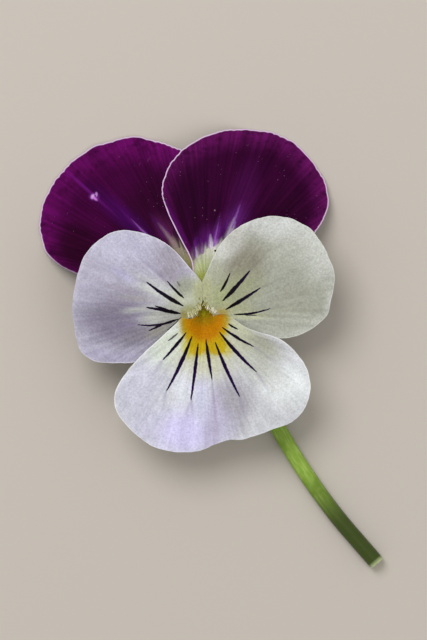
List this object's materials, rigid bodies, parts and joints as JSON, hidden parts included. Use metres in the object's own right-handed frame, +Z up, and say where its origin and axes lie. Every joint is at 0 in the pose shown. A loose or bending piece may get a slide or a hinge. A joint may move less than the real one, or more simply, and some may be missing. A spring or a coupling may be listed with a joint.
{
  "type": "pansy flower",
  "caption": "Cut viola-type pansy bloom lying face up on its hooked stalk: dark upper petals, pale side petals with beards, and a pale lower petal with an orange throat and a spur.",
  "frame": {"origin": "on the surface that the flower lies on, under the middle of the flower's bounding box", "axes": "+Z is up and out of the bloom's face, +Y points to the upper petals' side, +X to the viewer's right of the face; the cut end of the stalk lies towards -Y and +X"},
  "size_m": [0.0468, 0.0598, 0.0107],
  "materials": {
    "petal_purple": "matte",
    "petal_lilac": "matte",
    "petal_cream": "matte",
    "petal_white": "matte",
    "stalk_green": "satin",
    "sepal_green": "satin",
    "anther": "matte",
    "stigma": "satin"
  },
  "bodies": {
    "root": {"pedicel": "stalk_green", "bracteole_left": "sepal_green", "bracteole_right": "sepal_green", "sepal_1": "sepal_green", "sepal_2": "sepal_green", "sepal_3": "sepal_green", "sepal_4": "sepal_green", "sepal_5": "sepal_green", "petal_upper_left": "petal_purple", "petal_upper_right": "petal_purple", "petal_side_left": "petal_lilac", "petal_side_right": "petal_cream", "petal_lower": "petal_white", "stamen_1": "anther", "stamen_2": "anther", "stamen_3": "anther", "stamen_4": "anther", "stamen_5": "anther", "pistil": "stigma"}
  },
  "joints": []
}
